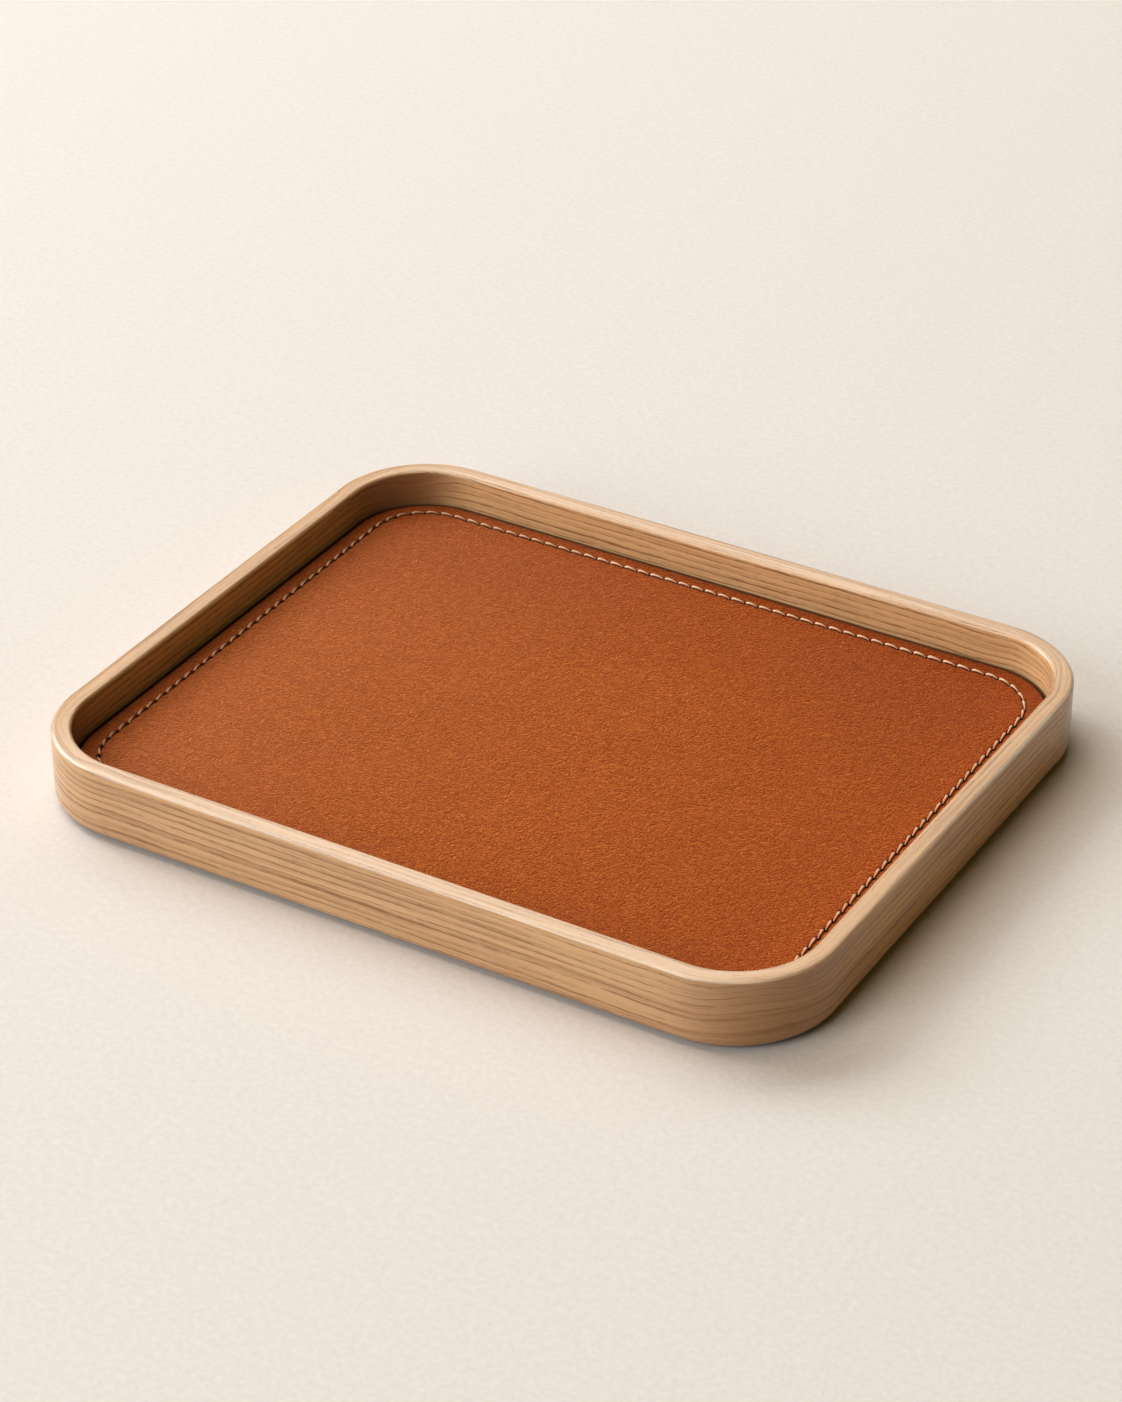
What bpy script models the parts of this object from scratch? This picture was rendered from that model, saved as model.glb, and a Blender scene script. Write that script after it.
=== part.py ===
# Desk tray: an oak rim with rounded corners, a plywood base held in its groove, and a stitched
# leather pad that drops in on the base and lifts out again.
#
# Metres, +Z up. +X runs along the long side and +Y towards the back. The origin is in the middle
# of the footprint, on the surface that the tray stands on.

import math

import bmesh
import bpy

# Driving sizes of the rim.
LENGTH = 0.305
DEPTH = 0.250
RIM_HEIGHT = 0.027
WALL = 0.0075
CORNER_RADIUS = 0.0385
TOP_ROUND = 0.0018
BOTTOM_ROUND = 0.004
# Straight length that a long rail keeps past each of its corners, up to the butt joint.
CORNER_RETURN = 0.004

# Gap between pieces that touch or are glued.
GAP = 0.0003

# Base panel and the groove round the inside of the rim.
STAND_OFF = 0.001
LIP_HEIGHT = 0.0025
GROOVE_DEPTH = 0.003
PANEL_THICKNESS = 0.004

# Pad, from its underside up, and the room that it has inside the rim.
BACKING_THICKNESS = 0.0009
BOARD_THICKNESS = 0.0020
LEATHER_THICKNESS = 0.0024
PAD_CLEARANCE = 0.0005
LEATHER_ROUND = 0.0005
BACKING_SETBACK = 0.0004

# Thread sewn round the pad, and how far its line lies in from the pad's edge.
THREAD_RADIUS = 0.00045
SEAM_INSET = 0.0083

# Loose tenons in the four corner joints.
TENON_THICKNESS = 0.0025
TENON_HEIGHT = 0.012
TENON_LENGTH = 0.020
MORTISE_END_ROOM = 0.0005

# Cork feet under the base panel.
FOOT_RADIUS = 0.007
FOOT_ROUND = 0.0004
FOOT_INSET = 0.025

# Smoothness of the round shapes, in steps.
CORNER_STEPS = 16
RIM_ROUND_STEPS = 5
SMALL_ROUND_STEPS = 3
TENON_STEPS = 6
FOOT_STEPS = 28
SEAM_STEPS = 10

# Distance under which the loose caps of an extruded outline are welded, and the angle under which
# neighbouring faces count as one flat face.
WELD = 0.000001
FLAT_ANGLE = math.radians(1.0)
SMOOTH_ANGLE = math.radians(30.0)

# Heights worked out from the sizes above.
RIM_BASE = STAND_OFF
RIM_TOP = RIM_BASE + RIM_HEIGHT
GROOVE_LOW = RIM_BASE + LIP_HEIGHT
PANEL_LOW = GROOVE_LOW + GAP
PANEL_TOP = PANEL_LOW + PANEL_THICKNESS
GROOVE_TOP = PANEL_TOP + GAP
BACKING_LOW = PANEL_TOP + GAP
BOARD_LOW = BACKING_LOW + BACKING_THICKNESS + GAP
LEATHER_LOW = BOARD_LOW + BOARD_THICKNESS + GAP
LEATHER_TOP = LEATHER_LOW + LEATHER_THICKNESS
TENON_MIDDLE = (GROOVE_TOP + RIM_TOP - TOP_ROUND) / 2

# Plan sizes worked out from the sizes above. The arc centres are those of the back right corner.
HALF_LENGTH = LENGTH / 2
HALF_DEPTH = DEPTH / 2
ARC_X = HALF_LENGTH - CORNER_RADIUS
ARC_Y = HALF_DEPTH - CORNER_RADIUS
JOINT_Y = ARC_Y - CORNER_RETURN
WALL_MIDDLE_X = HALF_LENGTH - WALL / 2
PANEL_OFFSET = WALL - GROOVE_DEPTH + GAP
PAD_OFFSET = WALL + PAD_CLEARANCE
FOOT_X = HALF_LENGTH - WALL - FOOT_INSET
FOOT_Y = HALF_DEPTH - WALL - FOOT_INSET
FOOT_HEIGHT = PANEL_LOW - GAP

OAK = ((0.79, 0.60, 0.41), 0.55)
BEECH = ((0.72, 0.52, 0.36), 0.60)
PLYWOOD = ((0.76, 0.62, 0.45), 0.65)
TAN_LEATHER = ((0.50, 0.17, 0.055), 0.50)
BOARD = ((0.45, 0.36, 0.26), 0.85)
SUEDE = ((0.30, 0.17, 0.10), 0.95)
THREAD = ((0.80, 0.62, 0.48), 0.60)
CORK = ((0.42, 0.26, 0.14), 0.90)


def clear_scene():
    """Remove whatever the scene holds."""
    for thing in list(bpy.data.objects):
        bpy.data.objects.remove(thing, do_unlink=True)


def new_collection(name):
    """A collection linked to the scene."""
    collection = bpy.data.collections.new(name)
    bpy.context.scene.collection.children.link(collection)
    return collection


def new_material(name, colour, roughness):
    """A Principled material of one colour."""
    material = bpy.data.materials.new(name)
    material.use_nodes = True
    shader = material.node_tree.nodes["Principled BSDF"]
    shader.inputs["Base Color"].default_value = (*colour, 1.0)
    shader.inputs["Roughness"].default_value = roughness
    shader.inputs["Metallic"].default_value = 0.0
    return material


def corner_arc(centre_x, centre_y, radius, start, steps):
    """Points of a quarter circle, counter-clockwise from the angle start."""
    points = []
    for step in range(steps + 1):
        angle = start + math.pi / 2 * step / steps
        points.append((centre_x + radius * math.cos(angle), centre_y + radius * math.sin(angle)))
    return points


def rounded_rectangle(offset, steps=CORNER_STEPS):
    """The rim's outer plan, drawn in by offset all round."""
    radius = CORNER_RADIUS - offset
    corners = ((1, 1, 0), (-1, 1, 1), (-1, -1, 2), (1, -1, 3))
    points = []
    for side_x, side_y, turn in corners:
        start = turn * math.pi / 2
        points += corner_arc(side_x * ARC_X, side_y * ARC_Y, radius, start, steps)
    return points


def long_rail_face(offset):
    """One face of the front rail in plan, from left to right, drawn in by offset."""
    radius = CORNER_RADIUS - offset
    reach_x = HALF_LENGTH - offset
    end_y = -(JOINT_Y + GAP / 2)
    points = [(-reach_x, end_y)]
    points += corner_arc(-ARC_X, -ARC_Y, radius, math.pi, CORNER_STEPS)
    points += corner_arc(ARC_X, -ARC_Y, radius, math.pi * 3 / 2, CORNER_STEPS)
    points.append((reach_x, end_y))
    return points


def long_rail_outline():
    """Plan of the front rail: a straight wall with a quarter round and a short return at each end."""
    return long_rail_face(0.0) + long_rail_face(WALL)[::-1]


def short_rail_outline():
    """Plan of the left rail: a straight wall between the two butt joints."""
    end_y = JOINT_Y - GAP / 2
    outer_x = -HALF_LENGTH
    inner_x = -HALF_LENGTH + WALL
    return [(outer_x, end_y), (outer_x, -end_y), (inner_x, -end_y), (inner_x, end_y)]


def stadium(width, height, steps):
    """A slot shape with round ends, its long way along the second axis."""
    radius = width / 2
    reach = height / 2 - radius
    points = []
    for end, start in ((1, 0.0), (-1, math.pi)):
        for step in range(steps + 1):
            angle = start + math.pi * step / steps
            points.append((radius * math.cos(angle), end * reach + radius * math.sin(angle)))
    return points


def add_loop(curve, points):
    """Add one closed line through the points."""
    spline = curve.splines.new("POLY")
    spline.points.add(len(points) - 1)
    for target, place in zip(spline.points, points):
        target.co = (*place, 1.0)
    spline.use_cyclic_u = True


def closed_mesh(name, curve):
    """A curve's solid as a mesh, with its loose caps welded and its flat faces in one piece."""
    guide = bpy.data.objects.new(name + "_guide", curve)
    bpy.context.scene.collection.objects.link(guide)
    depsgraph = bpy.context.evaluated_depsgraph_get()
    mesh = bpy.data.meshes.new_from_object(guide.evaluated_get(depsgraph))
    mesh.name = name
    bpy.data.objects.remove(guide, do_unlink=True)
    shape = bmesh.new()
    shape.from_mesh(mesh)
    bmesh.ops.remove_doubles(shape, verts=shape.verts, dist=WELD)
    bmesh.ops.dissolve_limit(shape, angle_limit=FLAT_ANGLE, verts=shape.verts, edges=shape.edges)
    bmesh.ops.recalc_face_normals(shape, faces=shape.faces)
    shape.to_mesh(mesh)
    shape.free()
    return mesh


def outline_mesh(name, points, thickness):
    """A flat outline extruded to a thickness, centred on its own plane."""
    curve = bpy.data.curves.new(name + "_outline", "CURVE")
    curve.dimensions = "2D"
    curve.fill_mode = "BOTH"
    curve.extrude = thickness / 2
    add_loop(curve, [(x, y, 0.0) for x, y in points])
    return closed_mesh(name, curve)


def add_object(name, data, collection, parent, location=(0.0, 0.0, 0.0), rotation=(0.0, 0.0, 0.0)):
    """Link an object for some data, placed in the tray's frame and carried by its parent."""
    thing = bpy.data.objects.new(name, data)
    collection.objects.link(thing)
    if parent:
        thing.parent = parent
        location = tuple(place - base for place, base in zip(location, parent.location))
    thing.location = location
    thing.rotation_euler = rotation
    return thing


def inward_offset(x, y):
    """How far a point lies inside the rim's outer plan."""
    over_x = abs(x) - ARC_X
    over_y = abs(y) - ARC_Y
    outside = math.hypot(max(over_x, 0.0), max(over_y, 0.0))
    return CORNER_RADIUS - outside - min(max(over_x, over_y), 0.0)


def weigh_edges(mesh, weight_of):
    """Give each edge the bevel weight that weight_of returns for its two ends."""
    shape = bmesh.new()
    shape.from_mesh(mesh)
    layer = shape.edges.layers.float.new("bevel_weight_edge")
    for edge in shape.edges:
        edge[layer] = weight_of(edge.verts[0].co, edge.verts[1].co)
    shape.to_mesh(mesh)
    shape.free()


def rail_edge_weight(first, second):
    """Bevel weight of a rail's edge: full on its lower outer edge, less along both upper edges."""
    upright = abs(first.z - second.z) > WELD
    across = abs(first.y - second.y) < WELD and abs(abs(first.y) - JOINT_Y) < GAP
    if upright or across:
        return 0.0
    if first.z > 0.0:
        return TOP_ROUND / BOTTOM_ROUND
    middle = (first + second) / 2
    if inward_offset(middle.x, middle.y) < WALL / 2:
        return 1.0
    return 0.0


def leather_edge_weight(first, second):
    """Bevel weight of the leather's edge: full round its upper edge."""
    return 1.0 if first.z > 0.0 and second.z > 0.0 else 0.0


def foot_edge_weight(first, second):
    """Bevel weight of a foot's edge: full round both its rims."""
    return 1.0 if abs(first.z - second.z) < WELD else 0.0


def add_weighted_round(thing, width, steps):
    """Round the weighted edges."""
    rounding = thing.modifiers.new("edge_round", "BEVEL")
    rounding.limit_method = "WEIGHT"
    rounding.offset_type = "OFFSET"
    rounding.width = width
    rounding.segments = steps
    rounding.use_clamp_overlap = False


def add_cut(thing, cutter):
    """Cut one shape out of another."""
    cut = thing.modifiers.new("cut_" + cutter.name, "BOOLEAN")
    cut.operation = "DIFFERENCE"
    cut.solver = "EXACT"
    cut.object = cutter


def as_cutter(thing):
    """Keep a shape as a tool only."""
    thing.hide_render = True
    thing.display_type = "WIRE"
    return thing


def smooth(mesh):
    """Shade the round faces smooth and keep the true edges sharp."""
    mesh.shade_smooth()
    mesh.set_sharp_from_angle(angle=SMOOTH_ANGLE)


def corner_places():
    """Name and signs of the four corners, front left first."""
    return (
        ("front_left", -1, -1),
        ("front_right", 1, -1),
        ("back_left", -1, 1),
        ("back_right", 1, 1),
    )


def make_groove_cutter(cutters):
    """The slab that cuts the panel's groove round the inside of the rim."""
    mesh = outline_mesh("groove", rounded_rectangle(WALL - GROOVE_DEPTH), GROOVE_TOP - GROOVE_LOW)
    place = (0.0, 0.0, (GROOVE_TOP + GROOVE_LOW) / 2)
    return as_cutter(add_object("groove_cutter", mesh, cutters, None, place))


def tenon_place(side_x, side_y):
    """Middle of a corner joint, at the tenon's height."""
    return (side_x * WALL_MIDDLE_X, side_y * JOINT_Y, TENON_MIDDLE)


def make_mortise_cutters(cutters):
    """The slots that hold the loose tenons, by corner."""
    outline = stadium(TENON_THICKNESS + 2 * GAP, TENON_HEIGHT + 2 * GAP, TENON_STEPS)
    mesh = outline_mesh("mortise", outline, TENON_LENGTH + 2 * MORTISE_END_ROOM)
    upright = (math.pi / 2, 0.0, 0.0)
    found = {}
    for corner, side_x, side_y in corner_places():
        place = tenon_place(side_x, side_y)
        cutter = add_object("mortise_" + corner + "_cutter", mesh, cutters, None, place, upright)
        found[corner] = as_cutter(cutter)
    return found


def make_rails(parts, rim, groove, mortises):
    """Two long rails with the corners on them, and two short rails between."""
    height = (RIM_BASE + RIM_TOP) / 2
    shapes = (
        ("front_rail", "back_rail", long_rail_outline()),
        ("left_rail", "right_rail", short_rail_outline()),
    )
    ends = {
        "front_rail": ("front_left", "front_right"),
        "back_rail": ("back_left", "back_right"),
        "left_rail": ("front_left", "back_left"),
        "right_rail": ("front_right", "back_right"),
    }
    for first, second, outline in shapes:
        mesh = outline_mesh(first, outline, RIM_HEIGHT)
        weigh_edges(mesh, rail_edge_weight)
        smooth(mesh)
        for name, turn in ((first, 0.0), (second, math.pi)):
            own = mesh if name == first else mesh.copy()
            own.materials.clear()
            own.materials.append(new_material(name + "_oak", *OAK))
            rail = add_object(name, own, parts, rim, (0.0, 0.0, height), (0.0, 0.0, turn))
            add_weighted_round(rail, BOTTOM_ROUND, RIM_ROUND_STEPS)
            add_cut(rail, groove)
            for corner in ends[name]:
                add_cut(rail, mortises[corner])


def make_tenons(parts, rim):
    """A loose tenon across each corner joint."""
    outline = stadium(TENON_THICKNESS, TENON_HEIGHT, TENON_STEPS)
    mesh = outline_mesh("tenon", outline, TENON_LENGTH)
    smooth(mesh)
    mesh.materials.append(new_material("tenon_beech", *BEECH))
    upright = (math.pi / 2, 0.0, 0.0)
    for corner, side_x, side_y in corner_places():
        add_object("tenon_" + corner, mesh, parts, rim, tenon_place(side_x, side_y), upright)


def make_base_panel(parts, rim):
    """The plywood panel, with a working gap to the groove all round."""
    mesh = outline_mesh("base_panel", rounded_rectangle(PANEL_OFFSET), PANEL_THICKNESS)
    mesh.materials.append(new_material("base_plywood", *PLYWOOD))
    add_object("base_panel", mesh, parts, rim, (0.0, 0.0, (PANEL_LOW + PANEL_TOP) / 2))


def make_feet(parts, rim):
    """Four cork discs under the panel, which hold the rim clear of the desk."""
    bpy.ops.mesh.primitive_cylinder_add(vertices=FOOT_STEPS, radius=FOOT_RADIUS, depth=FOOT_HEIGHT)
    pattern = bpy.context.object
    mesh = pattern.data
    mesh.name = "foot"
    bpy.data.objects.remove(pattern, do_unlink=True)
    weigh_edges(mesh, foot_edge_weight)
    smooth(mesh)
    mesh.materials.append(new_material("foot_cork", *CORK))
    for corner, side_x, side_y in corner_places():
        place = (side_x * FOOT_X, side_y * FOOT_Y, FOOT_HEIGHT / 2)
        foot = add_object("foot_" + corner, mesh, parts, rim, place)
        add_weighted_round(foot, FOOT_ROUND, SMALL_ROUND_STEPS)


def seam_curve(name, radius):
    """A round cord that runs once round the seam, level with the leather's upper face."""
    curve = bpy.data.curves.new(name, "CURVE")
    curve.dimensions = "3D"
    curve.bevel_depth = radius
    curve.bevel_resolution = 1
    plan = rounded_rectangle(PAD_OFFSET + SEAM_INSET, SEAM_STEPS)
    add_loop(curve, [(x, y, LEATHER_TOP) for x, y in plan])
    return curve


def make_seam_cutter(cutters):
    """The channel pressed into the leather by the stitching."""
    mesh = closed_mesh("seam_channel", seam_curve("seam_channel", THREAD_RADIUS + GAP))
    return as_cutter(add_object("seam_channel_cutter", mesh, cutters, None))


def make_pad(parts, pad, cutters):
    """The pad's three layers and its stitching."""
    leather = outline_mesh("leather_top", rounded_rectangle(PAD_OFFSET), LEATHER_THICKNESS)
    weigh_edges(leather, leather_edge_weight)
    smooth(leather)
    leather.materials.append(new_material("pad_leather", *TAN_LEATHER))
    place = (0.0, 0.0, (LEATHER_LOW + LEATHER_TOP) / 2)
    top = add_object("leather_top", leather, parts, pad, place)
    add_weighted_round(top, LEATHER_ROUND, SMALL_ROUND_STEPS)
    add_cut(top, make_seam_cutter(cutters))

    plan = rounded_rectangle(PAD_OFFSET + BACKING_SETBACK)
    board = outline_mesh("pad_board", plan, BOARD_THICKNESS)
    board.materials.append(new_material("pad_board_fibre", *BOARD))
    place = (0.0, 0.0, BOARD_LOW + BOARD_THICKNESS / 2)
    add_object("pad_board", board, parts, pad, place)

    backing = outline_mesh("pad_backing", plan, BACKING_THICKNESS)
    backing.materials.append(new_material("pad_suede", *SUEDE))
    place = (0.0, 0.0, BACKING_LOW + BACKING_THICKNESS / 2)
    add_object("pad_backing", backing, parts, pad, place)

    curve = seam_curve("stitch_thread", THREAD_RADIUS)
    curve.materials.append(new_material("stitch_linen", *THREAD))
    add_object("stitch_thread", curve, parts, pad)


def main():
    """Build the tray."""
    clear_scene()
    parts = new_collection("desk_tray")
    cutters = new_collection("cutters")
    rim = add_object("rim_origin", None, parts, None)
    pad = add_object("pad_origin", None, parts, None, (0.0, 0.0, BACKING_LOW))
    groove = make_groove_cutter(cutters)
    mortises = make_mortise_cutters(cutters)
    make_rails(parts, rim, groove, mortises)
    make_tenons(parts, rim)
    make_base_panel(parts, rim)
    make_feet(parts, rim)
    make_pad(parts, pad, cutters)


main()
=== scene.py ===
# Looks of the desk tray: an oak rim with rounded corners round a stitched tan leather pad.
# Everything is in metres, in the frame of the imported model: +X along the tray, +Y to the back, +Z up.

import math
import random

import bmesh
import bpy
import numpy as np
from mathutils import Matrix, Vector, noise


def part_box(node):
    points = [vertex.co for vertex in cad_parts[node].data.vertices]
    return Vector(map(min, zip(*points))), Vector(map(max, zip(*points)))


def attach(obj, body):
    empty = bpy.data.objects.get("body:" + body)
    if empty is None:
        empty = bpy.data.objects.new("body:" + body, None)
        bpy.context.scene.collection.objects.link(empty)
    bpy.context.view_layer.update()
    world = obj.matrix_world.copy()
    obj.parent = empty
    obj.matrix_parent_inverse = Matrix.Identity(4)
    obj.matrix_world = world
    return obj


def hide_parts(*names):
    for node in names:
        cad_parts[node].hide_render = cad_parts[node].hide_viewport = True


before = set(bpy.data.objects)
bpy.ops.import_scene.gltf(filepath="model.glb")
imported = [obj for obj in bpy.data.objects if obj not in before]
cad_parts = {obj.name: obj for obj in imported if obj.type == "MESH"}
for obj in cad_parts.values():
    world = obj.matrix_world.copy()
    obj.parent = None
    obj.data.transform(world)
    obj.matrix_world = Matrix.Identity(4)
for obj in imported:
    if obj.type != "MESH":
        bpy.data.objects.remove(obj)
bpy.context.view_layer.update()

MM = 0.001

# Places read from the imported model.
RAIL_LOW, RAIL_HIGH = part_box("front_rail")
SIDE_LOW, SIDE_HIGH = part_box("left_rail")
LEATHER_LOW, LEATHER_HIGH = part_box("leather_top")
BOARD_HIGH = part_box("pad_board")[1]
BACKING_LOW, BACKING_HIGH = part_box("pad_backing")
PANEL_LOW, PANEL_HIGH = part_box("base_panel")
THREAD_LOW, THREAD_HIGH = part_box("stitch_thread")

# Rim: its half sizes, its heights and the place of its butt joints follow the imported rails.
RIM_X = RAIL_HIGH.x
RIM_Y = -RAIL_LOW.y
RIM_BASE = RAIL_LOW.z
RIM_TOP = RAIL_HIGH.z
WALL = SIDE_HIGH.x - SIDE_LOW.x
JOINT_Y = (SIDE_HIGH.y - RAIL_HIGH.y) / 2
JOINT_LINE = 0.05 * MM
CORNER_RADIUS = 38.5 * MM
TOP_ROUND = 1.5 * MM
BOTTOM_ROUND = 4.0 * MM
ROUND_STEPS = 7
GROOVE_GAP = 0.3 * MM
# Spacing of the rim's stations on straight runs and round corners, and the least that is kept.
STRAIGHT_STEP = 6.0 * MM
ARC_STEP = 1.8 * MM
LEAST_STEP = 0.01 * MM
# Edges between faces that meet at more than this angle stay sharp.
SMOOTH_ANGLE = math.radians(35.0)

# Leather: its outline, its edge and the slight waves of its middle.
PAD_X = LEATHER_HIGH.x
PAD_Y = LEATHER_HIGH.y
PAD_RADIUS = CORNER_RADIUS - (RIM_X - PAD_X)
LEATHER_TOP = LEATHER_HIGH.z
LEATHER_INSET = 0.3 * MM
LEATHER_ROUND = 1.0 * MM
LEATHER_ROUND_STEPS = 6
EDGE_DROP = 0.35 * MM
WAVE_SCALE = 40.0
WAVE_SLICE = 0.7
WAVE_HEIGHT = 0.05 * MM
WAVE_EASE = 8.0 * MM

# Seam: how far in from the pad's edge it runs, and how it draws the leather down.
SEAM_INSET = PAD_X - THREAD_HIGH.x + (THREAD_HIGH.z - THREAD_LOW.z) / 2
SEAM_SHIFT = (-1.4 * MM, 1.4 * MM)
SEAM_SINK = 0.30 * MM
SEAM_WIDTH = 1.0 * MM

# Stitches: each starts just past its own hole, arches up, and dips as it ends short of the next hole.
STITCH_PITCH = 5.8 * MM
STITCH_STRAY = 0.05
STITCH_START = 0.25 * MM
STITCH_END = 1.0 * MM
STITCH_SLANT = 1.0 * MM
STITCH_RADIUS = 0.52 * MM
STITCH_FLATNESS = 0.85
STITCH_DIP = 0.60 * MM
STITCH_SECTIONS = 17
STITCH_SIDES = 14
STITCH_PLIES = 3
STITCH_TWIST = 2 * math.pi * 1.6
STITCH_TAPER = 0.52
# A hand's small differences from stitch to stitch.
SLANT_RANGE = (0.8, 1.2)
LIFT_RANGE = (0.85, 1.15)
THICKNESS_RANGE = (0.93, 1.07)
# Share of the full slant on the long sides and the short ones, and what the left adds and the right loses.
LEAN_LONG = 0.15
LEAN_SHORT = 0.75
LEAN_LEFT = 0.25
# Shares of a stitch's length over which it rises to its crest and swells to its full thickness.
CREST_SHARE = 0.22
SWELL_SHARE = 0.08
# Level of the spine above and below the pad, and how far it arches there.
UPPER_LEVEL = LEATHER_TOP - 0.10 * MM
UPPER_RISE = 0.30 * MM
UNDER_LEVEL = BACKING_LOW.z + 0.38 * MM
UNDER_RISE = 0.10 * MM
# Spacing of the thread's fibres round and along the strand, on the map of its grain.
LAY_ROUND = 2.4 * MM
LAY_ALONG = 2.0 * MM

# Holes, and the slits that the tight thread presses beside each stitch.
HOLE_ASIDE = 0.35 * MM
HOLE_WIDE = 0.75 * MM
HOLE_LONG = 0.85 * MM
HOLE_BACK = 0.60 * MM
HOLE_DEPTH = 1.3 * MM
HOLE_STEEPNESS = 1.4
# Wider spread for the painted shade round each hole than for its dent.
HOLE_SHADE_SPREAD = 1.45
SLIT_ASIDE = 0.55 * MM
SLIT_WIDE = 0.32 * MM
SLIT_DEPTH = 0.35 * MM
FAR_FROM_HOLES = 10.0 * MM
# Border outside the seam, a little darker as painted shade: how far from the seam it starts, and the width
# it deepens over.
BORDER_START = 1.0 * MM
BORDER_WIDE = 1.5 * MM

# Stations of the leather's mesh, in millimetres: along the seam from a hole, and out and in from the seam.
HOLE_STEPS = (0.0, 0.2, 0.42, 0.7, 1.1, 1.8)
OUTWARD_STEPS = (6.5, 5.6, 4.6, 3.7, 2.9, 2.3, 1.8, 1.45, 1.15, 0.9, 0.68, 0.45, 0.22)
INWARD_STEPS = (0.0, 0.22, 0.45, 0.68, 0.9, 1.15, 1.45, 1.8, 2.4, 3.3, 4.6, 6.4)
# Rings over the leather's middle, as shares of the way in, and the reach within which their ends join.
MIDDLE_SHARES = (0.06, 0.14, 0.24, 0.36, 0.50, 0.66, 0.83, 1.0)
MIDDLE_JOIN = 0.2 * MM

# Board and suede below the leather: the rounding of their edges and the points of their outlines.
BOARD_ROUND = 0.1 * MM
SUEDE_ROUND = 0.2 * MM
LAYER_STEPS = 240

# Oak figure: how far waves, ripples and the eddies of the corners bend it, and how far these eddies reach.
WAVE_REACH = 5.0 * MM
RIPPLE_REACH = 1.1 * MM
EDDY_REACH = 16.0 * MM
SWIRL_REACH = 34.0 * MM
# Share of the eddies' strength on the outer half of the wall.
SWIRL_OUTSIDE = 0.8
# Kept on each point of the rim: eddies, short sides, left side, right side and outer top edge; the left,
# right and short-side marks carry painted light and shade, the edge mark a painted highlight.
RIM_MARKS = ("swirl", "turned", "shaded", "lee", "arris")
# Darkness of the oak across one ring, from early wood to late: place and level.
RING_LEVELS = (
    (0.0, 0.30), (0.03, 0.85), (0.08, 1.0), (0.14, 0.62), (0.23, 0.30),
    (0.42, 0.13), (0.70, 0.02), (0.93, 0.0), (1.0, 0.28),
)
# Starts of each side of the rim on the map of the grain, along and across it, and the end grain's scale.
GRAIN_STARTS = {"outer": (0.0, 0.0), "top": (6.0, 0.3), "inner": (2.0, 0.05), "under": (4.0, 0.1)}
END_GRAIN = 0.02

# Painted shade on the oak round the corners of one end: which end, how far out the shade starts, and its
# strength.
CORNER_SHADE_RIGHT = (1.0, 85.0 * MM, 0.75)
CORNER_SHADE_LEFT = (-1.0, 108.0 * MM, 0.85)
CORNER_SHADE_FULL = 132.0 * MM
CORNER_SHADE_TINT = (0.22, 0.085, 0.024)
# Painted shade at the foot of the inner wall, where it meets the pad, up to a ragged line.
FOOT_SHADE_LOW = LEATHER_TOP - 0.6 * MM
FOOT_SHADE_HIGH = FOOT_SHADE_LOW + 0.7 * MM
FOOT_SHADE_RAGGED = 0.6 * MM
FOOT_SHADE_TINT = (0.11, 0.040, 0.012)
# Painted highlight along the outer top edge, broken in places, stronger at the back.
ARRIS_HIGHLIGHT_SPAN = 100.0 * MM
ARRIS_HIGHLIGHT_FRONT = 0.32
ARRIS_HIGHLIGHT_BACK = 1.0
ARRIS_HIGHLIGHT_TINT = (1.0, 0.90, 0.80)
# Painted shade on the underside of the rim, from one height to another.
UNDERSIDE_SHADE_LOW = RIM_BASE + 0.55 * MM
UNDERSIDE_SHADE_HIGH = RIM_BASE + 1.0 * MM
UNDERSIDE_SHADE_STRENGTH = 0.92
UNDERSIDE_SHADE_TINT = (0.030, 0.017, 0.008)

# Leather grain, painted as relief: scale and weight of its curled strokes, each a painted highlight, and how
# far off and how strong their painted shadow is.
STROKES = ((500.0, 0.55), (860.0, 0.45))
STROKE_SHIFT = 0.28 * MM
STROKE_SHADOW = 0.9
# Colour of the painted shade in the leather's holes, slits and border, and of its burnished edge, which also
# paints the shade against the wall.
BURNISH_AND_SHADE_TINT = (0.035, 0.010, 0.003)
# Leather tones across the pad: a painted sheen to the left, darker to the right where that painted sheen
# falls away, deeper towards the back, and their ragged line.
PAINTED_SHEEN_LEFT = (-30.0 * MM, 130.0 * MM)
SHEEN_FALLOFF_RIGHT = (-140.0 * MM, 0.0)
DEEP_BACK = (10.0 * MM, 120.0 * MM)
TONE_RAGGED = 50.0 * MM

# Thread darker towards the short sides: the middle of its lighter stretch, and where the darkening starts
# and is full.
ENDS_DARKENING_MIDDLE = 30.0 * MM
ENDS_DARKENING_START = 80.0 * MM
ENDS_DARKENING_FULL = 100.0 * MM

# Camera, from the photograph's edges: turn about Z, tilt below level, and lens.
CAMERA_PLACE = (0.6237, -1.0583, 0.8007)
CAMERA_TURN = math.radians(30.614)
CAMERA_TILT = math.radians(32.228)
CAMERA_LENS = 105.51
CAMERA_CLIP = (0.01, 50.0)
SENSOR = 36.0

# Lamps: name, turn off -X towards -Y, rise above the floor, distance, side, power and colour.
LAMPS = (
    ("left", 0.0, 34.0, 5.0, 2.5, 127.0, (0.96, 0.98, 1.0)),
    ("behind", -24.0, 41.0, 5.0, 3.0, 110.0, (0.94, 0.98, 1.0)),
    ("front", 70.0, 28.0, 5.0, 3.0, 146.0, (1.0, 1.0, 0.975)),
    ("over", 0.0, 80.0, 5.0, 2.5, 64.0, (1.0, 0.82, 0.60)),
    ("sheen", -64.0, 42.0, 5.0, 2.5, 42.0, (1.0, 0.94, 0.84)),
)
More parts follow.
